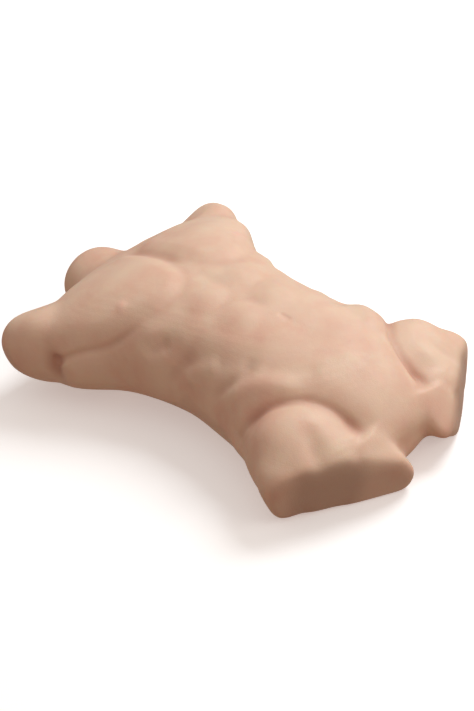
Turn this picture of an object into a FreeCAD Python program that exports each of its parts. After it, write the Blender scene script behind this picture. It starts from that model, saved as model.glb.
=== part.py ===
"""Torso mannequin: a soft elastomer skin over a foam core, held in shape by a light tube armature.

Frame: the torso lies on its back. +Z is up, out of the chest, +Y points to the head and +X is the
body's left. The origin is on the floor, at the middle of the torso's footprint. Sizes are in millimetres.
"""

import FreeCAD
import Part

import math
import os

from FreeCAD import Vector

# ---------------------------------------------------------------- driving dimensions
WALL = 18.0  # thickness of the elastomer skin
CORE_GAP = 0.3  # air between the skin and the foam core
OUTLINE_POINTS = 28  # points that each smooth cross-section is drawn through
SMALLEST_HALF = 8.0  # least half size of a trunk section

# The trunk, from crotch to neck root: place along Y, half width, top, bottom, height of the widest point,
# and how square the section is (2 is an ellipse). A bottom under zero is flattened by the floor.
TRUNK_STATIONS = [
    (-249, 26, 67, 23, 47, 2.0),
    (-237, 58, 86, 10, 47, 2.2),
    (-202, 114, 111, 0, 51, 2.4),
    (-162, 137, 126, -4, 54, 2.4),
    (-112, 125, 131, -6, 55, 2.4),
    (-67, 112, 137, -3, 55, 2.5),
    (-12, 108, 140, 4, 57, 2.6),
    (38, 118, 143, 5, 62, 2.5),
    (88, 138, 143, 0, 65, 2.4),
    (128, 166, 139, -4, 67, 2.4),
    (168, 156, 126, -3, 66, 2.5),
    (203, 109, 106, 8, 65, 2.4),
    (225, 55, 89, 22, 64, 2.0),
]

# A stub limb: middle of its root, middle of its cut end, half width and half height at each of them,
# how much of its length is rounded off, how square it is, and the direction of its width.
ARM = {
    "root": Vector(78, 158, 50),
    "tip": Vector(188, 188, 73),
    "root_size": (62, 56),
    "tip_size": (38, 43),
    "rounded": 0.38,
    "power": 2.2,
    "across": Vector(0.14, 0.99, 0),
}
THIGH = {
    "root": Vector(78, -130, 60),
    "tip": Vector(105, -243.5, 50),
    "root_size": (50, 42),
    "tip_size": (86, 37),
    "rounded": 0.12,
    "power": 2.6,
    "across": Vector(0.84, 0.54, 0),
}
NECK = {
    "root": Vector(0, 174, 64),
    "tip": Vector(0, 277, 57),
    "root_size": (56, 42),
    "tip_size": (43, 39),
    "rounded": 0.30,
    "power": 2.0,
    "across": Vector(1, 0, 0),
}
LIMB_STRAIGHT_SECTIONS = 4
LIMB_ROUND_SECTIONS = 5
SMALLEST_SECTION = 0.22  # the last section of a rounded end, as a share of the limb's size

# The armature. The core's two halves meet between the spine tube and the bars that cross over it.
SPINE_Z = 52.0
SPINE_RADIUS = 9.0
BAR_RADIUS = 7.0
TUBE_WALL = 1.5
TUBE_CLEARANCE = 0.1  # radial clearance of a tube in its block
BLOCK_WALL = 6.5  # least material round a block's bores
BLOCK_EDGE = 3.0  # rounding of a block's upright edges
BORE_BRIDGE = 3.0  # material between two crossing bores
SPINE_LOW_Y = -184.0
SPINE_HIGH_Y = 236.0
SHOULDER_Y = 172.0
SHOULDER_BAR_HALF = 145.0
HIP_Y = -152.0
HIP_BAR_HALF = 84.0
THIGH_ROD_LENGTH = 60.0
THIGH_ROD_BACK = 22.0  # how far a thigh rod reaches behind its block's middle
BAR_Z = SPINE_Z + SPINE_RADIUS + BORE_BRIDGE + BAR_RADIUS
ROD_Z = BAR_Z - 2 * BAR_RADIUS - BORE_BRIDGE
SPLIT_Z = SPINE_Z + SPINE_RADIUS + BORE_BRIDGE / 2  # height of the joint between the core's two halves

# End plates and fasteners
PLATE_THICKNESS = 5.0
NECK_PLATE_SIZE = (15.0, 11.0)
ARM_PLATE_SIZE = (14.0, 12.0)
THIGH_PLATE_SIZE = (24.0, 13.0)
INSERT_LENGTH = 18.0
SCREW_RADIUS = 3.0
SCREW_LENGTH = 16.0
SCREW_HEAD_RADIUS = 5.0
SCREW_HEAD_HEIGHT = 6.0
HEX_SOCKET_RADIUS = 2.9
HEX_SOCKET_DEPTH = 3.5
WASHER_RADIUS = 9.0
WASHER_THICKNESS = 1.6
SET_SCREW_RADIUS = 3.0
SET_SCREW_LENGTH = 7.0
SET_SOCKET_RADIUS = 1.7
SET_SOCKET_DEPTH = 3.0
HUGE = 1000.0

X_AXIS = Vector(1, 0, 0)
Y_AXIS = Vector(0, 1, 0)
Z_AXIS = Vector(0, 0, 1)


# ---------------------------------------------------------------- soft shapes
def outline(middle, across, half_width, above, below, power):
    """A smooth closed cross-section: a superellipse with its own height above and below its middle."""
    points = []
    for i in range(OUTLINE_POINTS):
        angle = 2 * math.pi * i / OUTLINE_POINTS
        c, s = math.cos(angle), math.sin(angle)
        wide = math.copysign(abs(c) ** (2 / power), c)
        high = math.copysign(abs(s) ** (2 / power), s)
        rise = above if high > 0 else below
        points.append(middle + across * (half_width * wide) + Z_AXIS * (rise * high))
    curve = Part.BSplineCurve()
    curve.interpolate(Points=points, PeriodicFlag=True)
    return Part.Wire(curve.toShape())


def trunk(inset):
    """Pelvis, abdomen and chest as one loft, drawn in by inset on every side."""
    first, last = TRUNK_STATIONS[0][0], TRUNK_STATIONS[-1][0]
    middle_y = (first + last) / 2
    shrink = 1 - 2 * inset / (last - first)
    wires = []
    for y, half_width, top, bottom, widest, power in TRUNK_STATIONS:
        place = Vector(0, middle_y + (y - middle_y) * shrink, widest)
        above, below = top - widest - inset, widest - bottom - inset
        sizes = [max(size, SMALLEST_HALF) for size in (half_width - inset, above, below)]
        wires.append(outline(place, X_AXIS, *sizes, power))
    return Part.makeLoft(wires, True, False)


def limb(shape, inset):
    """A stub limb with a rounded end, drawn in by inset."""
    axis = (shape["tip"] - shape["root"]).normalize()
    across = Vector(shape["across"]).normalize()
    tip = shape["tip"] - axis * inset
    straight = 1 - shape["rounded"]
    shares = [straight * i / (LIMB_STRAIGHT_SECTIONS - 1) for i in range(LIMB_STRAIGHT_SECTIONS)]
    sizes = [1.0] * LIMB_STRAIGHT_SECTIONS
    for i in range(1, LIMB_ROUND_SECTIONS + 1):
        turn = math.pi / 2 * i / LIMB_ROUND_SECTIONS
        shares.append(straight + shape["rounded"] * math.sin(turn))
        sizes.append(max(math.cos(turn), SMALLEST_SECTION))
    wires = []
    for share, size in zip(shares, sizes):
        wide, high = (
            (a + (b - a) * share - inset) * size for a, b in zip(shape["root_size"], shape["tip_size"])
        )
        place = shape["root"] + (tip - shape["root"]) * share
        wires.append(outline(place, across, wide, high, high, shape["power"]))
    return Part.makeLoft(wires, True, False)


def mirrored(shape):
    """The same shape on the other side of the body."""
    return shape.mirror(Vector(0, 0, 0), X_AXIS)


def slab(low_z, high_z):
    """All space between two heights."""
    return Part.makeBox(2 * HUGE, 2 * HUGE, high_z - low_z, Vector(-HUGE, -HUGE, low_z))


def body(inset):
    """The whole torso, drawn in by inset, and flat where it meets the floor."""
    arm, thigh = limb(ARM, inset), limb(THIGH, inset)
    stubs = [limb(NECK, inset), arm, mirrored(arm), thigh, mirrored(thigh)]
    whole = trunk(inset).multiFuse(stubs)
    return whole.common(slab(inset, HUGE)).removeSplitter()


# ---------------------------------------------------------------- armature
def rod(radius, start, end):
    """A solid round bar between two points."""
    run = end - start
    return Part.makeCylinder(radius, run.Length, start, run)


def tube(radius, start, end):
    """A round tube between two points."""
    return rod(radius, start, end).cut(rod(radius - TUBE_WALL, start, end))


def thigh_axis():
    """The level direction of the left thigh."""
    run = THIGH["tip"] - THIGH["root"]
    return Vector(run.x, run.y, 0).normalize()


def thigh_block_middle():
    return Vector(HIP_BAR_HALF - BLOCK_WALL - BAR_RADIUS, HIP_Y, ROD_Z)


def crossing_block(middle, lower_radius, lower_axis, upper_radius, upper_z):
    """A clamp block round a lower tube and an upper bar that crosses it along X."""
    half = max(lower_radius, upper_radius) + BLOCK_WALL
    low, high = middle.z - lower_radius - BLOCK_WALL, upper_z + upper_radius + BLOCK_WALL
    corner = Vector(middle.x - half, middle.y - half, low)
    block = Part.makeBox(2 * half, 2 * half, high - low, corner)
    upright = [edge for edge in block.Edges if abs(edge.tangentAt(edge.FirstParameter).z) > 0.99]
    block = block.makeFillet(BLOCK_EDGE, upright)
    upper_middle = Vector(middle.x, middle.y, upper_z)
    lower_reach, upper_reach = lower_axis * HUGE, X_AXIS * HUGE
    lower_bore = rod(lower_radius + TUBE_CLEARANCE, middle - lower_reach, middle + lower_reach)
    upper_bore = rod(upper_radius + TUBE_CLEARANCE, upper_middle - upper_reach, upper_middle + upper_reach)
    block = block.cut(lower_bore).cut(upper_bore)
    for start, direction in set_screw_places(middle, lower_radius, upper_radius, upper_z):
        block = block.cut(rod(SET_SCREW_RADIUS, start, start + direction * (BLOCK_WALL + 2)))
    return block


def set_screw_places(middle, lower_radius, upper_radius, upper_z):
    """A block's two set screws: where each presses on its tube, and its direction out of the block."""
    lower_start = Vector(middle.x, middle.y, middle.z - lower_radius)
    upper_start = Vector(middle.x, middle.y, upper_z + upper_radius)
    return [(lower_start, -Z_AXIS), (upper_start, Z_AXIS)]


def set_screws():
    """Two set screws for each block."""
    blocks = [
        (Vector(0, SHOULDER_Y, SPINE_Z), SPINE_RADIUS),
        (Vector(0, HIP_Y, SPINE_Z), SPINE_RADIUS),
        (thigh_block_middle(), BAR_RADIUS),
        (Vector(-thigh_block_middle().x, HIP_Y, ROD_Z), BAR_RADIUS),
    ]
    screws = []
    for middle, lower_radius in blocks:
        for start, direction in set_screw_places(middle, lower_radius, BAR_RADIUS, BAR_Z):
            end = start + direction * SET_SCREW_LENGTH
            screw = rod(SET_SCREW_RADIUS, start, end)
            screws.append(screw.cut(hexagon(SET_SOCKET_RADIUS, SET_SOCKET_DEPTH, end, -direction)))
    return Part.makeCompound(screws)


def hexagon(radius, depth, start, direction):
    """A six-sided prism, for a screw's socket."""
    side = direction.cross(X_AXIS if abs(direction.x) < 0.9 else Y_AXIS).normalize()
    other = direction.cross(side)
    corners = []
    for i in range(7):
        angle = math.pi / 3 * (i % 6)
        corners.append(start + side * (radius * math.cos(angle)) + other * (radius * math.sin(angle)))
    return Part.Face(Part.makePolygon(corners)).extrude(direction * depth)


def bar_ends():
    """Where each end plate is screwed on: tube end, direction outwards, tube radius and plate size."""
    left_end, right_end = (Vector(side * SHOULDER_BAR_HALF, SHOULDER_Y, BAR_Z) for side in (1, -1))
    axis = thigh_axis()
    rod_end = thigh_block_middle() + axis * THIGH_ROD_LENGTH
    right_axis, right_rod_end = Vector(-axis.x, axis.y, 0), Vector(-rod_end.x, rod_end.y, rod_end.z)
    return {
        "neck": (Vector(0, SPINE_HIGH_Y, SPINE_Z), Y_AXIS, SPINE_RADIUS, NECK_PLATE_SIZE),
        "arm_left": (left_end, X_AXIS, BAR_RADIUS, ARM_PLATE_SIZE),
        "arm_right": (right_end, -X_AXIS, BAR_RADIUS, ARM_PLATE_SIZE),
        "thigh_left": (rod_end, axis, BAR_RADIUS, THIGH_PLATE_SIZE),
        "thigh_right": (right_rod_end, right_axis, BAR_RADIUS, THIGH_PLATE_SIZE),
    }


def blank_plate(place):
    """An oval end plate without its screw hole. Its half width is the greater half."""
    end, out, _, (wide, tall) = place
    across = out.cross(Z_AXIS).normalize()
    rim = Part.Ellipse(end + across * wide, end + Z_AXIS * tall, end)
    return Part.Face(Part.Wire(rim.toShape())).extrude(out * PLATE_THICKNESS)


def plate(place):
    """An oval end plate with its screw hole."""
    end, out, _, _ = place
    return blank_plate(place).cut(rod(SCREW_RADIUS + TUBE_CLEARANCE, end, end + out * PLATE_THICKNESS))


def end_insert(place):
    """A threaded plug in a tube's end."""
    end, out, tube_radius, _ = place
    start = end - out * INSERT_LENGTH
    return rod(tube_radius - TUBE_WALL, start, end).cut(rod(SCREW_RADIUS, start, end))


def washer(place):
    """The washer between a plate and its screw's head."""
    end, out, _, _ = place
    start = end + out * PLATE_THICKNESS
    stop = start + out * WASHER_THICKNESS
    return rod(WASHER_RADIUS, start, stop).cut(rod(SCREW_RADIUS + TUBE_CLEARANCE, start, stop))


def plate_screw(place):
    """A socket-head screw through the washer and plate into the insert."""
    end, out, _, _ = place
    seat = end + out * (PLATE_THICKNESS + WASHER_THICKNESS)
    top = seat + out * SCREW_HEAD_HEIGHT
    screw = rod(SCREW_HEAD_RADIUS, seat, top).fuse(rod(SCREW_RADIUS, seat - out * SCREW_LENGTH, seat))
    return screw.cut(hexagon(HEX_SOCKET_RADIUS, HEX_SOCKET_DEPTH, top, -out)).removeSplitter()


def straight_runs():
    """Radius, start and end of the spine tube, the shoulder and hip bars and the left thigh rod."""
    shoulder, hip = Vector(SHOULDER_BAR_HALF, 0, 0), Vector(HIP_BAR_HALF, 0, 0)
    shoulder_middle, hip_middle = Vector(0, SHOULDER_Y, BAR_Z), Vector(0, HIP_Y, BAR_Z)
    axis, thigh_middle = thigh_axis(), thigh_block_middle()
    return {
        "spine_tube": (SPINE_RADIUS, Vector(0, SPINE_LOW_Y, SPINE_Z), Vector(0, SPINE_HIGH_Y, SPINE_Z)),
        "shoulder_bar": (BAR_RADIUS, shoulder_middle - shoulder, shoulder_middle + shoulder),
        "hip_bar": (BAR_RADIUS, hip_middle - hip, hip_middle + hip),
        "thigh_rod_left": (
            BAR_RADIUS, thigh_middle - axis * THIGH_ROD_BACK, thigh_middle + axis * THIGH_ROD_LENGTH
        ),
    }


def armature():
    """Every hard piece inside the core, by node name."""
    ends = bar_ends()
    shoulder_middle, hip_middle = Vector(0, SHOULDER_Y, SPINE_Z), Vector(0, HIP_Y, SPINE_Z)
    nodes = {name: tube(*run) for name, run in straight_runs().items()}
    nodes["thigh_rod_right"] = mirrored(nodes["thigh_rod_left"])
    nodes["shoulder_block"] = crossing_block(shoulder_middle, SPINE_RADIUS, Y_AXIS, BAR_RADIUS, BAR_Z)
    nodes["hip_block"] = crossing_block(hip_middle, SPINE_RADIUS, Y_AXIS, BAR_RADIUS, BAR_Z)
    nodes["thigh_block_left"] = crossing_block(
        thigh_block_middle(), BAR_RADIUS, thigh_axis(), BAR_RADIUS, BAR_Z
    )
    nodes["thigh_block_right"] = mirrored(nodes["thigh_block_left"])
    nodes["neck_plate"] = plate(ends["neck"])
    for name in ("arm_left", "arm_right", "thigh_left", "thigh_right"):
        limb_name, side = name.split("_")
        nodes[f"{limb_name}_plate_{side}"] = plate(ends[name])
    nodes["end_inserts"] = Part.makeCompound([end_insert(place) for place in ends.values()])
    nodes["plate_screws"] = Part.makeCompound([plate_screw(place) for place in ends.values()])
    nodes["plate_washers"] = Part.makeCompound([washer(place) for place in ends.values()])
    nodes["block_screws"] = set_screws()
    return nodes


# ---------------------------------------------------------------- foam core
def slot(radius, start, end):
    """A round-bottomed slot for a tube, open at the joint between the core's two halves."""
    side = (end - start).normalize().cross(Z_AXIS) * radius
    corners = [start - side, start + side, end + side, end - side, start - side]
    opening = Part.Face(Part.makePolygon(corners))
    return rod(radius, start, end).fuse(opening.extrude(Z_AXIS * (SPLIT_Z - start.z)))


def block_room(middle, half):
    """The space of a clamp block."""
    low, high = middle.z - half, BAR_Z + BAR_RADIUS + BLOCK_WALL
    return Part.makeBox(2 * half, 2 * half, high - low, Vector(middle.x - half, middle.y - half, low))


def room_for_armature():
    """The space that the foam leaves for the armature: no foam fills a tube or a screw's socket."""
    slots = {name: slot(*run) for name, run in straight_runs().items()}
    thigh_room = block_room(thigh_block_middle(), BAR_RADIUS + BLOCK_WALL)
    room = list(slots.values())
    room += [
        mirrored(slots["thigh_rod_left"]),
        block_room(Vector(0, SHOULDER_Y, SPINE_Z), SPINE_RADIUS + BLOCK_WALL),
        block_room(Vector(0, HIP_Y, SPINE_Z), SPINE_RADIUS + BLOCK_WALL),
        thigh_room,
        mirrored(thigh_room),
    ]
    for place in bar_ends().values():
        start = place[0] + place[1] * PLATE_THICKNESS
        room += [
            blank_plate(place),
            rod(WASHER_RADIUS, start, start + place[1] * (WASHER_THICKNESS + SCREW_HEAD_HEIGHT)),
        ]
    return room[0].multiFuse(room[1:])


def main():
    os.makedirs("parts", exist_ok=True)
    nodes = armature()
    nodes["skin"] = body(0.0).cut(body(WALL))
    core = body(WALL + CORE_GAP).cut(room_for_armature())
    nodes["core_back"] = core.common(slab(-HUGE, SPLIT_Z))
    nodes["core_front"] = core.common(slab(SPLIT_Z, HUGE))
    for name, shape in nodes.items():
        shape.exportStep(os.path.join("parts", name + ".step"))
        print(f"{name}: {len(shape.Solids)} solids, {shape.Volume / 1000:.1f} cm3, valid {shape.isValid()}")


main()
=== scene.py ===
"""Looks of the torso mannequin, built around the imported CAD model.

The visible skin is one sculpted mesh. Its base is the CAD skin's outer surface, softened where the limbs
meet the trunk, with soft forms joined to the thighs and the ends of the stubs trimmed. Muscles are then
raised and creases pressed in along curves that are given once, for the body's left side, and mirrored.
Sculpting is done in millimetres and the finished mesh is in metres.
"""

import math

import bpy
import numpy as np
from mathutils import Matrix, Vector
from mathutils.bvhtree import BVHTree


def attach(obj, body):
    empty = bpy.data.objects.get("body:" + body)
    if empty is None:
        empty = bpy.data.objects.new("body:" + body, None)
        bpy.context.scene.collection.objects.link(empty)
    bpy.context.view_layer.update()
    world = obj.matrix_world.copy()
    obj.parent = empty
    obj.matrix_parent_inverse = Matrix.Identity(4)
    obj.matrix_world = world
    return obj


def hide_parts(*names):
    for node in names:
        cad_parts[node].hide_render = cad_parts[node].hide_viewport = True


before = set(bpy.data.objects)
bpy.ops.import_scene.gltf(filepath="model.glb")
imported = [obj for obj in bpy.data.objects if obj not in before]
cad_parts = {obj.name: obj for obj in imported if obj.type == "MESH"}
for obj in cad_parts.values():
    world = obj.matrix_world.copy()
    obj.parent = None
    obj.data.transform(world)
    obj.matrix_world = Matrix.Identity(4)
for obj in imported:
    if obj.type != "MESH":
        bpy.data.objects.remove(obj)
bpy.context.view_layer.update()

MM = 0.001

# ---------------------------------------------------------------- base shape
COARSE = 4.0  # spacing of the distance grid, mm
FINE = COARSE / 2  # spacing of the mesh, mm
REACH = 16.0  # distances are held to this, mm
MARGIN = 20.0  # empty space round the shape, mm
ROUNDING = 1.7  # blur of the distance grid, in coarse cells
SIDESTEP = (0.013, 0.017)  # keeps rays off the edges of the CAD mesh, mm
TINY = 1e-6  # keeps divisions away from zero


def distance_grid(node):
    """A node's signed distances, negative inside, on a grid over x >= 0, and that grid's lowest corner."""
    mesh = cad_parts[node].data
    mesh.calc_loop_triangles()
    points = np.empty(len(mesh.vertices) * 3, np.float64)
    mesh.vertices.foreach_get("co", points)
    points = points.reshape(-1, 3) / MM
    triangles = np.empty(len(mesh.loop_triangles) * 3, np.int32)
    mesh.loop_triangles.foreach_get("vertices", triangles)
    tree = BVHTree.FromPolygons(points.tolist(), triangles.reshape(-1, 3).tolist())
    low, high = points.min(0) - MARGIN, points.max(0) + MARGIN
    low[0] = 0.0
    counts = [int(math.ceil((high[i] - low[i]) / COARSE)) + 1 for i in range(3)]
    grid = np.full(counts, REACH, np.float32)
    nearest, cast = tree.find_nearest, tree.ray_cast
    down, up = Vector((0, 0, -1)), Vector((0, 0, 1))
    heights = low[2] + COARSE * np.arange(counts[2])
    for i in range(counts[0]):
        x = float(i * COARSE)
        for j in range(counts[1]):
            y = float(low[1] + j * COARSE)
            ray_x, ray_y = x + SIDESTEP[0], y + SIDESTEP[1]
            top = cast(Vector((ray_x, ray_y, high[2])), down)[0]
            bottom = cast(Vector((ray_x, ray_y, low[2])), up)[0]
            for k, z in enumerate(heights):
                inside = top is not None and bottom is not None and bottom.z < z < top.z
                distance = nearest(Vector((x, y, float(z))), REACH)[3]
                if distance is None:
                    distance = REACH
                grid[i, j, k] = -distance if inside else distance
    return grid, low


def blur(grid, sigma):
    """A Gaussian blur along all three axes, mirrored at x = 0."""
    reach = int(math.ceil(3 * sigma))
    weights = np.exp(-0.5 * (np.arange(-reach, reach + 1) / sigma) ** 2)
    weights /= weights.sum()
    for axis in range(3):
        widths = tuple((reach, reach) if i == axis else (0, 0) for i in range(3))
        padded = np.pad(grid, widths, mode="reflect" if axis == 0 else "edge")
        total = np.zeros_like(grid)
        for shift, weight in enumerate(weights):
            window = [slice(None)] * 3
            window[axis] = slice(shift, shift + grid.shape[axis])
            total += weight * padded[tuple(window)]
        grid = total
    return grid


def refine(grid):
    """The same grid at half the spacing."""
    for axis in range(3):
        coarse = np.moveaxis(grid, axis, 0)
        fine = np.empty((2 * coarse.shape[0] - 1,) + coarse.shape[1:], np.float32)
        fine[0::2] = coarse
        fine[1::2] = (coarse[1:] + coarse[:-1]) / 2
        grid = np.moveaxis(fine, 0, axis)
    return grid


def smooth_union(a, b, softness):
    """Signed distances to two shapes together, with a soft join between them."""
    blend = np.clip(0.5 + 0.5 * (b - a) / softness, 0, 1)
    return b * (1 - blend) + a * blend - softness * blend * (1 - blend)


def add_ellipsoid(grid, low, centre, radii, turn, softness):
    """Joins an ellipsoid, turned about Z by so many degrees, softly to the shape."""
    reach = max(radii) + 3 * softness
    start = [max(int((centre[i] - reach - low[i]) / FINE), 0) for i in range(3)]
    stop = [min(int((centre[i] + reach - low[i]) / FINE) + 2, grid.shape[i]) for i in range(3)]
    axes = [low[i] + FINE * np.arange(start[i], stop[i]) - centre[i] for i in range(3)]
    x, y, z = np.meshgrid(*axes, indexing="ij")
    c, s = math.cos(math.radians(turn)), math.sin(math.radians(turn))
    u, v, w = (c * x + s * y) / radii[0], (c * y - s * x) / radii[1], z / radii[2]
    size = np.sqrt(u * u + v * v + w * w) + TINY
    slope = np.sqrt((u / radii[0]) ** 2 + (v / radii[1]) ** 2 + (w / radii[2]) ** 2) + TINY
    distance = (size * (size - 1) / slope).astype(np.float32)
    block = tuple(slice(a, b) for a, b in zip(start, stop))
    grid[block] = smooth_union(grid[block], distance, softness)


def cut_plane(grid, low, normal, offset, softness):
    """Cuts off what lies beyond a plane, with a soft edge."""
    normal = np.array(normal) / np.linalg.norm(normal)
    x, y, z = (normal[i] * (low[i] + FINE * np.arange(grid.shape[i])) for i in range(3))
    beyond = x[:, None, None] + y[None, :, None] + z[None, None, :] - offset
    return -smooth_union(-grid, -beyond.astype(np.float32), softness)


def surface_net(grid, low):
    """A mesh of four-sided faces on the grid's zero surface."""
    inner = tuple(n - 1 for n in grid.shape)
    total = np.zeros((inner[0] * inner[1] * inner[2], 3))
    count = np.zeros(inner[0] * inner[1] * inner[2])
    quads = []
    for axis in range(3):
        a = np.moveaxis(np.moveaxis(grid, axis, 0)[:-1], 0, axis)
        b = np.moveaxis(np.moveaxis(grid, axis, 0)[1:], 0, axis)
        edge = np.argwhere((a < 0) != (b < 0))
        start, end = a[tuple(edge.T)], b[tuple(edge.T)]
        place = edge.astype(float)
        place[:, axis] += start / (start - end)
        one, two = (axis + 1) % 3, (axis + 2) % 3
        ring = []
        for step_one, step_two in ((-1, -1), (0, -1), (0, 0), (-1, 0)):
            cell = edge.copy()
            cell[:, one] += step_one
            cell[:, two] += step_two
            index = np.ravel_multi_index(tuple(cell.T), inner)
            ring.append(index)
            count += np.bincount(index, minlength=count.size)
            for i in range(3):
                total[:, i] += np.bincount(index, place[:, i], minlength=count.size)
        ring = np.stack(ring, 1)
        ring[start > 0] = ring[start > 0][:, ::-1]
        quads.append(ring)
    used = np.nonzero(count)[0]
    renumber = np.full(count.size, -1)
    renumber[used] = np.arange(used.size)
    points = low + FINE * total[used] / count[used, None]
    return points, renumber[np.concatenate(quads)]


# ---------------------------------------------------------------- sculpting
SMOOTH_STEPS = (0.5, -0.52)  # shares of the way to the neighbours' mean: in, and back out
HOLLOW_ROUNDS = 40  # rounds of averaging that hollows are measured against
HOLLOW_EVENING = 10  # rounds that even the measured depth
WRAP_RADIUS = 105.0  # radius at which the way round the body is measured, mm
WRAP_Z = 42.0  # height of the line that it is measured round, mm
CURVE_STEPS = 8  # samples between two points of a curve
PATH_REACH = 45.0  # points this far outside a path's box are not measured, mm
FAR = 1e9  # their distance
SHORTEST = 1e-9  # runs of a path shorter than this are skipped, mm


class Clay:
    """A mesh of four-sided faces that is shaped by moving its points, mirrored about x = 0."""

    def __init__(self, points, quads):
        self.points = points
        self.quads = quads
        edges = np.concatenate([quads[:, [i, (i + 1) % 4]] for i in range(4)])
        edges = np.unique(np.sort(edges, 1), axis=0)
        self.edges = np.concatenate([edges, edges[:, ::-1]])
        self.degree = np.bincount(self.edges[:, 0], minlength=len(points)).astype(float)
        self.lift = np.zeros(len(points))

    def average(self, values):
        """Each point's mean over its neighbours."""
        a, b = self.edges.T
        if values.ndim == 1:
            return np.bincount(a, values[b], minlength=len(values)) / self.degree
        return np.stack([self.average(values[:, i]) for i in range(values.shape[1])], 1)

    def smooth(self, rounds):
        """Evens the surface without shrinking it."""
        for _ in range(rounds):
            for step in SMOOTH_STEPS:
                self.points = self.points + step * (self.average(self.points) - self.points)

    def normals(self):
        """Each point's outward direction."""
        a, b, c, d = (self.points[self.quads[:, i]] for i in range(4))
        face = np.cross(c - a, d - b)
        total = np.zeros_like(self.points)
        for corner in range(4):
            for i in range(3):
                total[:, i] += np.bincount(self.quads[:, corner], face[:, i], minlength=len(total))
        return total / (np.linalg.norm(total, axis=1)[:, None] + 1e-12)

    def settle(self):
        """Moves every point along its normal by what has been raised or pressed in, and starts afresh."""
        self.points = self.points + self.normals() * self.lift[:, None]
        self.lift = np.zeros(len(self.points))
        self.measure()

    def hollow(self):
        """How far each point lies below the averaged surface."""
        even = self.points
        for _ in range(HOLLOW_ROUNDS):
            even = self.average(even)
        depth = np.einsum("ij,ij->i", even - self.points, self.normals())
        for _ in range(HOLLOW_EVENING):
            depth = self.average(depth)
        return depth

    def measure(self):
        """Works out the flat coordinates that bumps, regions and spots are placed by."""
        self.flat = flatten(self.points)

    def groove(self, path, depth, width, fade=(0.15, 0.15)):
        """Presses a soft line in along a path. It fades out over these shares of the path's two ends."""
        folded = self.points.copy()
        folded[:, 0] = np.abs(folded[:, 0])
        distance, share = path_distance(folded, curve(path))
        profile = np.exp(-((distance / width) ** 2))
        for end, length in zip((share, 1 - share), fade):
            if length:
                profile *= smooth_step(end / length)
        self.lift -= depth * profile

    def ridge(self, path, height, width, fade=(0.25, 0.25)):
        """Raises a soft line along a path."""
        self.groove(path, -height, width, fade)

    def bump(self, centre, radii, height, turn=0.0):
        """Raises an oval swelling: half sizes round the body and along it, turned by so many degrees."""
        middle = flatten(np.array([centre], float))[0]
        offset = self.flat - middle
        c, s = math.cos(math.radians(turn)), math.sin(math.radians(turn))
        u = (c * offset[:, 0] + s * offset[:, 1]) / radii[0]
        v = (c * offset[:, 1] - s * offset[:, 0]) / radii[1]
        self.lift += height * np.clip(1 - u * u - v * v, 0, None) ** 2

    def region(self, border, height, edge):
        """Raises a region inside a border, with an edge that rises over this distance."""
        outline = flatten(curve(border, closed=True))
        distance = signed_distance(self.flat, outline)
        self.lift += height * smooth_step(distance / edge)


def flatten(points):
    """Flat coordinates: the way round the body from its middle line, and the place along it."""
    round_body = WRAP_RADIUS * np.arctan2(np.abs(points[:, 0]), points[:, 2] - WRAP_Z)
    return np.stack([round_body, points[:, 1]], 1)


def smooth_step(t):
    """Rises smoothly from 0 to 1 as t does, and stays level outside that."""
    t = np.clip(t, 0, 1)
    return t * t * (3 - 2 * t)


def curve(points, closed=False):
    """A smooth curve through points, sampled."""
    p = np.array(points, float)
    ends = (p[-1:], p[:2]) if closed else (2 * p[:1] - p[1:2], 2 * p[-1:] - p[-2:-1])
    p = np.concatenate([ends[0], p, ends[1]])
    t = (np.arange(CURVE_STEPS) / CURVE_STEPS)[:, None]
    parts = []
    for a, b, c, d in zip(p[:-3], p[1:-2], p[2:-1], p[3:]):
        square = 2 * a - 5 * b + 4 * c - d
        cube = 3 * b - a - 3 * c + d
        parts.append(0.5 * (2 * b + (c - a) * t + square * t**2 + cube * t**3))
    return np.concatenate(parts if closed else parts + [p[-2:-1]])


def path_distance(points, path):
    """Distance from each point to a path, and the share of the path's length where it is nearest."""
    best = np.full(len(points), FAR)
    share = np.zeros(len(points))
    lengths = np.linalg.norm(np.diff(path, axis=0), axis=1)
    done = 0.0
    low, high = path.min(0) - PATH_REACH, path.max(0) + PATH_REACH
    near = np.nonzero(np.all((points > low) & (points < high), axis=1))[0]
    local = points[near]
    found, where = best[near], share[near]
    for a, b, length in zip(path[:-1], path[1:], lengths):
        if length < SHORTEST:
            continue
        along = np.clip((local - a) @ (b - a) / length**2, 0, 1)
        distance = np.linalg.norm(local - a - along[:, None] * (b - a), axis=1)
        closer = distance < found
        found[closer] = distance[closer]
        where[closer] = (done + along[closer] * length) / lengths.sum()
        done += length
    best[near], share[near] = found, where
    return best, share


def signed_distance(flat, outline):
    """Distance of flat points to a closed outline, positive inside."""
    ring = np.concatenate([outline, outline[:1]])
    distance = path_distance(flat, ring)[0]
    inside = np.zeros(len(flat), bool)
    for (x0, y0), (x1, y1) in zip(ring[:-1], ring[1:]):
        if y0 == y1:
            continue
        spans = (flat[:, 1] < y0) != (flat[:, 1] < y1)
        crossing = x0 + (flat[:, 1] - y0) / (y1 - y0) * (x1 - x0)
        inside ^= spans & (flat[:, 0] < crossing)
    return np.where(inside, distance, -distance)


# ---------------------------------------------------------------- the body
# Soft forms that are joined to the base: middle, radii, turn about Z in degrees, softness of the join.
THIGH_FORMS = (
    ((102, -181, 50), (53, 56, 63), -31, 8),
    ((98, -230, 30), (46, 30, 34), 33, 12),
    ((142, -196, 36), (24, 29, 36), 33, 12),
)
LEFT_THIGH_FORM = ((146, -192, 48), (22, 24, 26), 33, 14)
RIGHT_THIGH_FORM = ((-54, -248, 19), (44, 34, 33), -33, 18)
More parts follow.
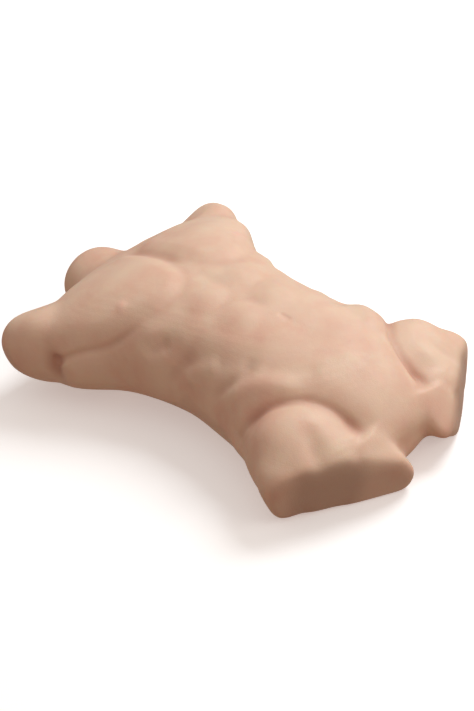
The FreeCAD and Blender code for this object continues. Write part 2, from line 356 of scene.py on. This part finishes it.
# Planes that trim the shape: outward direction, distance from the origin, softness of the edge.
THIGH_CUT = ((0.512, -0.859, 0), 262, 6)
RIGHT_THIGH_CUT = ((-0.463, -0.859, -0.22), 240, 12)
FLOOR = ((0, 0, -1), 0, 5)
TRIMS = (
    ((0.24, -0.403, 0.883), 190, 20),  # the thigh slopes down to its end
    ((0, -0.8, 0.6), 240.5, 9),  # the inner lobe is lower than the outer one
    THIGH_CUT,
    ((0.95, 0.26, -0.2), 214.5, 6),  # the arm's cut end
    ((0, 0.99, -0.12), 266, 14),  # the neck's cut end
    FLOOR,
)
PEC_BORDER = [
    (5, 168, 128), (4, 130, 137), (5, 100, 140), (7, 78, 143), (14, 60, 143), (31, 46, 142),
    (51, 38, 138), (77, 43, 131), (93, 54, 124), (104, 62, 116), (125, 80, 99), (144, 101, 90),
    (161, 122, 84), (170, 140, 74), (178, 165, 90), (160, 190, 100), (110, 196, 110), (60, 190, 116),
    (20, 182, 119),
]
PEC_CREASE = [(92, 53, 124), (110, 66, 112), (132, 86, 95), (150, 108, 88), (167, 133, 74)]
GROIN_CREASE = [
    (136, -110, 50), (127, -122, 80), (111, -136, 104), (95, -150, 113), (76, -170, 115),
    (63, -194, 108), (57, -216, 94), (52, -236, 74),
]
NIPPLE = (92, 86, 129)
NAVEL = (0, -75, 136)
ARMPIT = (171, 137, 65)
# Spots of colour: place, size and strength. The shaded spot is painted shade at the armpit; the pink spots
# are the skin's own tone.
SHADED_SPOTS = ((ARMPIT, 15, 0.7),)
PINK_SPOTS = ((NIPPLE, 8, 1.0), (NAVEL, 7, 0.5))
HOLLOW_DEPTH = 2.4  # depth below the averaged surface at which a hollow counts in full, mm
BASE_SMOOTHING = 26  # rounds of smoothing before the sculpting
LAST_SMOOTHING = 3  # rounds after it

# Painted shade on the thighs' cut ends, which are darker because they face away from the light.
CUT_LIMIT = 13.5  # depth under the cut's plane at which the colour ends, mm
CUT_FADE = 9.0  # the last part of that depth, over which it fades, mm
CUT_TURN = 0.55  # cosine of the turn away from the cut at which it ends
LOBE_BORDER = 62.0  # where the darker outer lobe begins, from the middle of the body, mm
CORNER_BORDER = 134.0  # where it fades again towards the outer corner, mm
LOBE_FADE = 25.0  # how far each of these takes, mm
INNER_LOBE_SHARE = 0.5  # how much of the colour the inner lobe has
CORNER_LOSS = 0.6  # how much of it the outer corner loses


def sculpt(clay):
    """Muscles and creases, on the body's left side; x is mirrored. All sizes are in millimetres."""
    # chest
    clay.region(PEC_BORDER, 4.5, 25)
    clay.bump((72, 98, 136), (72, 58), 4.5)
    clay.groove([(0, 190, 116), (0, 150, 133), (0, 110, 140), (0, 74, 143)], 3.2, 8, fade=(0.3, 0.3))
    clay.groove(PEC_CREASE, 3.2, 5, fade=(0.4, 0.0))
    clay.groove(PEC_CREASE, 1.6, 14, fade=(0.4, 0.2))
    clay.settle()
    # armpit and shoulder
    clay.bump((169, 136, 70), (30, 22), -3.5)
    clay.bump((171, 137, 66), (22, 15), -4.5)
    clay.groove([(132, 140, 116), (149, 131, 106), (162, 131, 88)], 1.4, 12, fade=(0.5, 0.4))
    clay.bump((160, 165, 100), (26, 24), 1.5)
    clay.ridge([(14, 186, 118), (48, 189, 116), (88, 184, 111), (120, 178, 106)], 1.6, 8)
    # abdomen
    clay.groove([(0, 66, 143), (0, 40, 143), (0, 14, 142)], 1.2, 9, fade=(0.2, 0.5))
    clay.groove([(0, -2, 141), (0, -20, 140), (0, -50, 138)], 0.8, 9, fade=(0.4, 0.4))
    clay.bump((31, 15, 140), (33, 28), 3.2)
    clay.bump((29, -36, 138), (33, 29), 2.8)
    clay.bump((26, -92, 134), (34, 36), 1.0)
    clay.groove(
        [(94, 38, 120), (97, 10, 113), (95, -20, 110), (90, -50, 113), (82, -80, 118), (72, -106, 121)],
        3.6, 20,
    )
    clay.settle()
    # ribs and flank
    clay.ridge([(108, 50, 106), (98, 38, 117), (90, 20, 121), (88, 4, 119), (100, -2, 100)], 1.0, 10)
    clay.groove([(93, 12, 115), (100, 22, 110), (106, 30, 104), (113, 40, 90)], 2.4, 11, fade=(0.3, 0.4))
    clay.groove([(118, 10, 58), (107, -2, 88), (98, -12, 103), (87, -19, 116)], 3.4, 12, fade=(0.4, 0.3))
    clay.ridge([(112, -20, 78), (101, -32, 96), (95, -44, 105), (88, -58, 114)], 2.6, 11)
    clay.groove(
        [(118, -56, 66), (109, -66, 88), (101, -78, 102), (93, -86, 111), (85, -93, 117)],
        4.2, 10, fade=(0.5, 0.4),
    )
    clay.bump((124, -70, 46), (40, 66), 3.0)
    clay.settle()
    # pelvis
    clay.ridge(
        [(118, -88, 80), (105, -100, 104), (92, -116, 115), (80, -140, 118), (64, -162, 120)],
        3.0, 13,
    )
    clay.groove([(84, -80, 120), (72, -110, 123), (60, -138, 123), (40, -166, 120)], 1.6, 15)
    clay.groove(GROIN_CREASE, 5.5, 18, fade=(0.1, 0.05))
    clay.groove(GROIN_CREASE, 5.5, 6.5, fade=(0.35, 0.15))
    clay.settle()
    # thigh
    clay.groove(
        [(94, -168, 112), (100, -190, 106), (110, -210, 96), (122, -230, 78)],
        4.2, 11, fade=(0.8, 0.0),
    )
    clay.ridge([(86, -190, 108), (92, -212, 98), (96, -238, 84)], 1.3, 11, fade=(0.6, 0.1))
    clay.groove([(68, -230, 92), (78, -247, 80), (84, -257, 66), (87, -262, 46)], 4.0, 9, fade=(0.5, 0.3))
    clay.bump((166, -176, 36), (50, 50), -4.0)
    clay.settle()
    # nipple and navel
    clay.bump(NIPPLE, (12, 12), 0.5)
    clay.bump(NIPPLE, (7, 7), 0.9)
    clay.groove([(0, -71, 136), (0, -80, 136)], 1.2, 3.5, fade=(0, 0))
    clay.settle()


def base_shape():
    """The shape before sculpting: the CAD skin, the thighs' soft forms and every cut end."""
    grid, low = distance_grid("skin")
    grid = refine(blur(grid, ROUNDING))
    for form in THIGH_FORMS:
        add_ellipsoid(grid, low, *form)
    for plane in TRIMS:
        grid = cut_plane(grid, low, *plane)
    whole = np.concatenate([grid[:0:-1], grid])
    corner = np.array([low[0] - FINE * (grid.shape[0] - 1), low[1], low[2]])
    for form in (LEFT_THIGH_FORM, RIGHT_THIGH_FORM):
        add_ellipsoid(whole, corner, *form)
    for plane in (THIGH_CUT, RIGHT_THIGH_CUT, FLOOR):
        whole = cut_plane(whole, corner, *plane)
    return Clay(*surface_net(whole, corner))


def spots(clay, places):
    """A value that is highest at some places and fades round them."""
    total = np.zeros(len(clay.points))
    for place, size, strength in places:
        distance = np.linalg.norm(clay.flat - flatten(np.array([place], float)), axis=1)
        total += strength * np.exp(-((distance / size) ** 2))
    return total


def cut_shade_mask(clay):
    """Painted shade on the thighs' cut ends: where the surface is near a cut's plane and faces as it does,
    less on the inner lobe and the outer corner.
    """
    total = np.zeros(len(clay.points))
    facing = clay.normals()
    for (direction, offset, _), side in ((THIGH_CUT, 1), (RIGHT_THIGH_CUT, -1)):
        outward = np.array(direction) / np.linalg.norm(direction)
        depth = offset - clay.points @ outward
        near = smooth_step((CUT_LIMIT - depth) / CUT_FADE) * (clay.points[:, 0] * side > 0)
        total += near * smooth_step((facing @ outward - CUT_TURN) / (1 - CUT_TURN))
    across = np.abs(clay.points[:, 0])
    outer_lobe = smooth_step((across - LOBE_BORDER) / LOBE_FADE)
    corner = smooth_step((across - CORNER_BORDER) / LOBE_FADE)
    share = INNER_LOBE_SHARE + (1 - INNER_LOBE_SHARE) * outer_lobe - CORNER_LOSS * corner
    return total * share


def build_body():
    """The sculpted skin as one object. Its points carry how hollow the surface is there, with the armpit's
    painted shade, how pink it is, and the painted shade on the thighs' cut ends.
    """
    clay = base_shape()
    clay.smooth(BASE_SMOOTHING)
    clay.measure()
    sculpt(clay)
    clay.smooth(LAST_SMOOTHING)
    clay.points[:, 2] = np.maximum(clay.points[:, 2], 0)
    mesh = bpy.data.meshes.new("torso_skin")
    mesh.vertices.add(len(clay.points))
    mesh.vertices.foreach_set("co", (clay.points * MM).astype(np.float32).ravel())
    mesh.loops.add(clay.quads.size)
    mesh.loops.foreach_set("vertex_index", clay.quads.astype(np.int32).ravel())
    mesh.polygons.add(len(clay.quads))
    mesh.polygons.foreach_set("loop_start", np.arange(0, clay.quads.size, 4, dtype=np.int32))
    mesh.update(calc_edges=True)
    paint = (
        # painted shade in creases, hollows and the armpit
        ("hollow", clay.hollow() / HOLLOW_DEPTH + spots(clay, SHADED_SPOTS)),
        ("blush", spots(clay, PINK_SPOTS)),
        # painted shade on the thighs' cut ends
        ("cut_shade", cut_shade_mask(clay)),
    )
    for name, values in paint:
        attribute = mesh.attributes.new(name, "FLOAT", "POINT")
        attribute.data.foreach_set("value", np.clip(values, 0, 1).astype(np.float32))
    mesh.validate()
    mesh.shade_smooth()
    torso = bpy.data.objects.new("torso_skin", mesh)
    bpy.context.scene.collection.objects.link(torso)
    return torso


# ---------------------------------------------------------------- materials
class Paint:
    """A new material with a Principled shader, and short ways to add to its nodes."""

    def __init__(self, name, **values):
        self.material = bpy.data.materials.new(name)
        self.material.use_nodes = True
        self.nodes, self.links = self.material.node_tree.nodes, self.material.node_tree.links
        self.shader = self.nodes["Principled BSDF"]
        for key, value in values.items():
            self.shader.inputs[key.replace("_", " ")].default_value = value
        self.place = self.nodes.new("ShaderNodeTexCoord").outputs["Object"]

    def feed(self, target, value):
        """Sets a socket, or links it to another one."""
        if isinstance(value, bpy.types.NodeSocket):
            self.links.new(value, target)
        else:
            target.default_value = value

    def stretched(self, scale):
        """The object's coordinates, scaled along each axis."""
        node = self.nodes.new("ShaderNodeMapping")
        node.inputs["Scale"].default_value = scale
        self.links.new(self.place, node.inputs["Vector"])
        return node.outputs["Vector"]

    def noise(self, scale, detail=3.0, place=None):
        """Cloudy noise from about 0.3 to 0.7, with so many cells to the metre."""
        node = self.nodes.new("ShaderNodeTexNoise")
        node.inputs["Scale"].default_value = scale
        node.inputs["Detail"].default_value = detail
        self.links.new(place or self.place, node.inputs["Vector"])
        return node.outputs["Fac"]

    def cells(self, scale):
        """Distance from the middles of small cells, with so many to the metre."""
        node = self.nodes.new("ShaderNodeTexVoronoi")
        node.inputs["Scale"].default_value = scale
        self.links.new(self.place, node.inputs["Vector"])
        return node.outputs["Distance"]

    def attribute(self, name):
        """A value painted on the mesh's points."""
        node = self.nodes.new("ShaderNodeAttribute")
        node.attribute_name = name
        return node.outputs["Fac"]

    def ramp(self, source, low, high, out_low=0.0, out_high=1.0):
        """Turns low to high into out_low to out_high, and holds the ends."""
        node = self.nodes.new("ShaderNodeMapRange")
        for key, value in zip(("From Min", "From Max", "To Min", "To Max"), (low, high, out_low, out_high)):
            node.inputs[key].default_value = value
        self.links.new(source, node.inputs["Value"])
        return node.outputs["Result"]

    def mix(self, share, start, end):
        """A colour between two others."""
        node = self.nodes.new("ShaderNodeMix")
        node.data_type = "RGBA"
        self.links.new(share, node.inputs["Factor"])
        self.feed(node.inputs["A"], start)
        self.feed(node.inputs["B"], end)
        return node.outputs["Result"]

    def add(self, one, two):
        """The sum of two values."""
        node = self.nodes.new("ShaderNodeMath")
        self.links.new(one, node.inputs[0])
        self.links.new(two, node.inputs[1])
        return node.outputs["Value"]

    def relief(self, height, strength, depth):
        """Fine bumps, with their depth in metres."""
        node = self.nodes.new("ShaderNodeBump")
        node.inputs["Strength"].default_value = strength
        node.inputs["Distance"].default_value = depth
        self.links.new(height, node.inputs["Height"])
        self.links.new(node.outputs["Normal"], self.shader.inputs["Normal"])


SKIN = (0.77, 0.555, 0.42, 1)
SKIN_WARM = (0.72, 0.45, 0.335, 1)
SKIN_YELLOW = (0.78, 0.60, 0.44, 1)
# painted shade for creases, hollows and the armpit
SKIN_HOLLOW_SHADE = (0.50, 0.24, 0.17, 1)
# painted shade for the thighs' cut ends
SKIN_CUT_SHADE = (0.40, 0.26, 0.19, 1)
SKIN_PINK = (0.84, 0.53, 0.42, 1)


def skin_material():
    """Soft elastomer: warm and slightly mottled, with painted shade that makes hollows, the armpit and the
    thighs' cut ends darker and redder, and a fine matt grain.
    """
    paint = Paint(
        "soft_elastomer", IOR=1.43, Specular_IOR_Level=0.4, Sheen_Weight=0.06, Sheen_Roughness=0.5,
        Subsurface_Weight=0.25, Subsurface_Scale=0.010, Subsurface_Radius=(1.0, 0.35, 0.18),
    )
    colour = paint.mix(paint.ramp(paint.noise(14.0), 0.36, 0.66), SKIN, SKIN_WARM)
    colour = paint.mix(paint.ramp(paint.noise(38.0), 0.40, 0.75, 0.0, 0.6), colour, SKIN_YELLOW)
    # painted shade in creases, hollows and the armpit
    colour = paint.mix(paint.ramp(paint.attribute("hollow"), 0.0, 1.0, 0.0, 0.75), colour, SKIN_HOLLOW_SHADE)
    # painted shade on the thighs' cut ends
    colour = paint.mix(paint.ramp(paint.attribute("cut_shade"), 0.0, 1.0, 0.0, 0.78), colour, SKIN_CUT_SHADE)
    colour = paint.mix(paint.ramp(paint.attribute("blush"), 0.0, 1.0, 0.0, 0.6), colour, SKIN_PINK)
    paint.feed(paint.shader.inputs["Base Color"], colour)
    paint.feed(paint.shader.inputs["Roughness"], paint.ramp(paint.noise(60.0), 0.3, 0.7, 0.44, 0.58))
    pores = paint.add(paint.cells(900.0), paint.ramp(paint.noise(220.0, 4.0), 0.0, 1.0, 0.0, 2.0))
    paint.relief(pores, 0.25, 0.0004)
    return paint.material


def foam_material():
    """Pale open-cell foam."""
    paint = Paint("open_cell_foam", Specular_IOR_Level=0.2, Sheen_Weight=0.2)
    cells = paint.cells(650.0)
    colour = paint.mix(paint.ramp(cells, 0.0, 0.6), (0.72, 0.66, 0.50, 1), (0.50, 0.44, 0.31, 1))
    colour = paint.mix(paint.ramp(paint.noise(9.0), 0.3, 0.7, 0.0, 0.35), colour, (0.78, 0.74, 0.62, 1))
    paint.feed(paint.shader.inputs["Base Color"], colour)
    paint.feed(paint.shader.inputs["Roughness"], paint.ramp(paint.noise(40.0), 0.3, 0.7, 0.85, 0.97))
    paint.relief(cells, 0.7, 0.0012)
    return paint.material


def metal_material(name, light, dark, roughness, grain):
    """Bare metal with fine drawing marks along the grain."""
    paint = Paint(name, Metallic=1.0)
    marks = paint.noise(40.0, 6.0, paint.stretched(grain))
    paint.feed(paint.shader.inputs["Base Color"], paint.mix(paint.ramp(marks, 0.3, 0.7), light, dark))
    paint.feed(paint.shader.inputs["Roughness"], paint.ramp(marks, 0.3, 0.7, roughness, roughness + 0.14))
    paint.relief(marks, 0.2, 0.0001)
    return paint.material


def plastic_material(name, light, dark, roughness):
    """Moulded plastic with a fine grain and a little cloudiness."""
    paint = Paint(name, Specular_IOR_Level=0.5)
    colour = paint.mix(paint.ramp(paint.noise(25.0), 0.35, 0.65), light, dark)
    paint.feed(paint.shader.inputs["Base Color"], colour)
    grain = paint.ramp(paint.noise(300.0), 0.3, 0.7, roughness, roughness + 0.12)
    paint.feed(paint.shader.inputs["Roughness"], grain)
    paint.relief(paint.cells(1500.0), 0.25, 0.0002)
    return paint.material


def finish_armature():
    """Materials for the CAD pieces inside the skin."""
    foam = foam_material()
    aluminium = metal_material(
        "drawn_aluminium", (0.78, 0.79, 0.81, 1), (0.60, 0.61, 0.64, 1), 0.28, (1, 0.08, 1)
    )
    steel = metal_material(
        "zinc_plated_steel", (0.70, 0.71, 0.74, 1), (0.52, 0.53, 0.57, 1), 0.24, (1, 1, 1)
    )
    nylon = plastic_material("black_nylon", (0.030, 0.030, 0.033, 1), (0.018, 0.018, 0.020, 1), 0.42)
    polyethylene = plastic_material(
        "natural_polyethylene", (0.78, 0.78, 0.75, 1), (0.70, 0.70, 0.67, 1), 0.36
    )
    # A node takes the finish of the first of these that its name holds.
    finishes = (
        ("core_", foam),
        ("spine_tube", aluminium),
        ("_bar", aluminium),
        ("_rod_", aluminium),
        ("_screws", steel),
        ("_washers", steel),
        ("_block", nylon),
        ("_inserts", nylon),
        ("_plate", polyethylene),
    )
    for name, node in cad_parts.items():
        if name == "skin":
            continue
        material = next(finish for part, finish in finishes if part in name)
        node.data.materials.clear()
        node.data.materials.append(material)


def studio_material(name, glow):
    """Pale matt paint with a glow of its own."""
    paint = Paint(
        name, Roughness=0.9, Specular_IOR_Level=0.0, Emission_Color=(1, 1, 1, 1), Emission_Strength=glow
    )
    colour = paint.mix(paint.ramp(paint.noise(1.5), 0.3, 0.7), (0.92, 0.92, 0.92, 1), (0.95, 0.95, 0.95, 1))
    paint.feed(paint.shader.inputs["Base Color"], colour)
    return paint.material


# ---------------------------------------------------------------- studio
# Name, place in metres, size, power and colour.
LIGHTS = (
    ("key", (1.5, -0.1, 1.9), 1.2, 34, (1.0, 1.06, 1.09)),
    ("front", (0.7, -1.8, 1.0), 1.2, 8, (1.0, 0.95, 0.9)),
)
# Colours of the surround, from 0 straight below, by way of 0.5 at the horizon, to 1 straight above.
SKY = ((0.40, (0.32, 0.21, 0.16, 1)), (0.52, (0.40, 0.30, 0.25, 1)), (1.0, (0.55, 0.49, 0.45, 1)))


FLOOR_SIZE = 16
FLOOR_DROP = 0.0005  # the floor lies this far under the torso, so that their faces don't mix
FLOOR_GLOW = 0.3
BACKDROP_RADIUS = 7
BACKDROP_HEIGHT = 9
BACKDROP_SIDES = 96
BACKDROP_GLOW = 0.38


def sky():
    """A soft warm surround, brighter overhead."""
    world = bpy.data.worlds.new("soft_daylight")
    world.use_nodes = True
    nodes, links = world.node_tree.nodes, world.node_tree.links
    place = nodes.new("ShaderNodeTexCoord")
    split = nodes.new("ShaderNodeSeparateXYZ")
    height = nodes.new("ShaderNodeMath")  # turns -1 to 1 into 0 to 1
    height.operation = "MULTIPLY_ADD"
    height.inputs[1].default_value = 0.5
    height.inputs[2].default_value = 0.5
    ramp = nodes.new("ShaderNodeValToRGB")
    ramp.color_ramp.elements.new(SKY[1][0])
    for stop, (position, colour) in zip(ramp.color_ramp.elements, SKY):
        stop.position = position
        stop.color = colour
    links.new(place.outputs["Generated"], split.inputs["Vector"])
    links.new(split.outputs["Z"], height.inputs[0])
    links.new(height.outputs["Value"], ramp.inputs["Fac"])
    links.new(ramp.outputs["Color"], nodes["Background"].inputs["Color"])
    bpy.context.scene.world = world


def stage_piece(name, glow):
    """Makes the new object part of the studio: seen, but throwing no light on the torso."""
    piece = bpy.context.object
    piece.name = name
    piece.visible_diffuse = False
    piece.visible_glossy = False
    piece.data.materials.append(studio_material(name + "_paint", glow))
    return piece


def studio():
    """A pale floor and backdrop, soft lights and the surround."""
    bpy.context.scene.view_settings.view_transform = "Standard"
    bpy.ops.mesh.primitive_plane_add(size=FLOOR_SIZE, location=(0, 0, -FLOOR_DROP))
    stage_piece("studio_floor", FLOOR_GLOW)
    bpy.ops.mesh.primitive_cylinder_add(
        vertices=BACKDROP_SIDES, radius=BACKDROP_RADIUS, depth=BACKDROP_HEIGHT, end_fill_type="NOTHING"
    )
    stage_piece("studio_backdrop", BACKDROP_GLOW).visible_shadow = False
    sky()
    for name, place, size, power, colour in LIGHTS:
        light = bpy.data.lights.new(name, "AREA")
        light.size = size
        light.energy = power
        light.color = colour
        lamp = bpy.data.objects.new(name, light)
        lamp.location = place
        lamp.rotation_euler = (-Vector(place)).to_track_quat("-Z", "Y").to_euler()
        bpy.context.scene.collection.objects.link(lamp)


CAMERA_AZIMUTH = math.radians(-44.323)
CAMERA_ELEVATION = math.radians(35.542)
CAMERA_ROLL = math.radians(-4.635)
CAMERA_DISTANCE = 1.9802
CAMERA_TARGET = Vector((-0.0114, -0.0068, 0.0576))
CAMERA_LENS = 86.92
CAMERA_SENSOR = 36


def add_camera():
    """The camera. It looks at its target from above, beyond the right thigh, with a small roll."""
    back = Vector((
        math.sin(CAMERA_AZIMUTH) * math.cos(CAMERA_ELEVATION),
        -math.cos(CAMERA_AZIMUTH) * math.cos(CAMERA_ELEVATION),
        math.sin(CAMERA_ELEVATION),
    ))
    right = Vector((0, 0, 1)).cross(back).normalized()
    up = back.cross(right)
    c, s = math.cos(CAMERA_ROLL), math.sin(CAMERA_ROLL)
    rolled_right, rolled_up = c * right + s * up, c * up - s * right
    data = bpy.data.cameras.new("camera")
    data.lens = CAMERA_LENS
    data.sensor_width = CAMERA_SENSOR
    data.sensor_fit = "AUTO"
    camera = bpy.data.objects.new("camera", data)
    rotation = Matrix((rolled_right, rolled_up, back)).transposed().to_4x4()
    camera.matrix_world = Matrix.Translation(CAMERA_TARGET + back * CAMERA_DISTANCE) @ rotation
    bpy.context.scene.collection.objects.link(camera)
    bpy.context.scene.camera = camera


torso = build_body()
torso.data.materials.append(skin_material())
finish_armature()
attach(torso, "root")
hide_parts("skin")
studio()
add_camera()
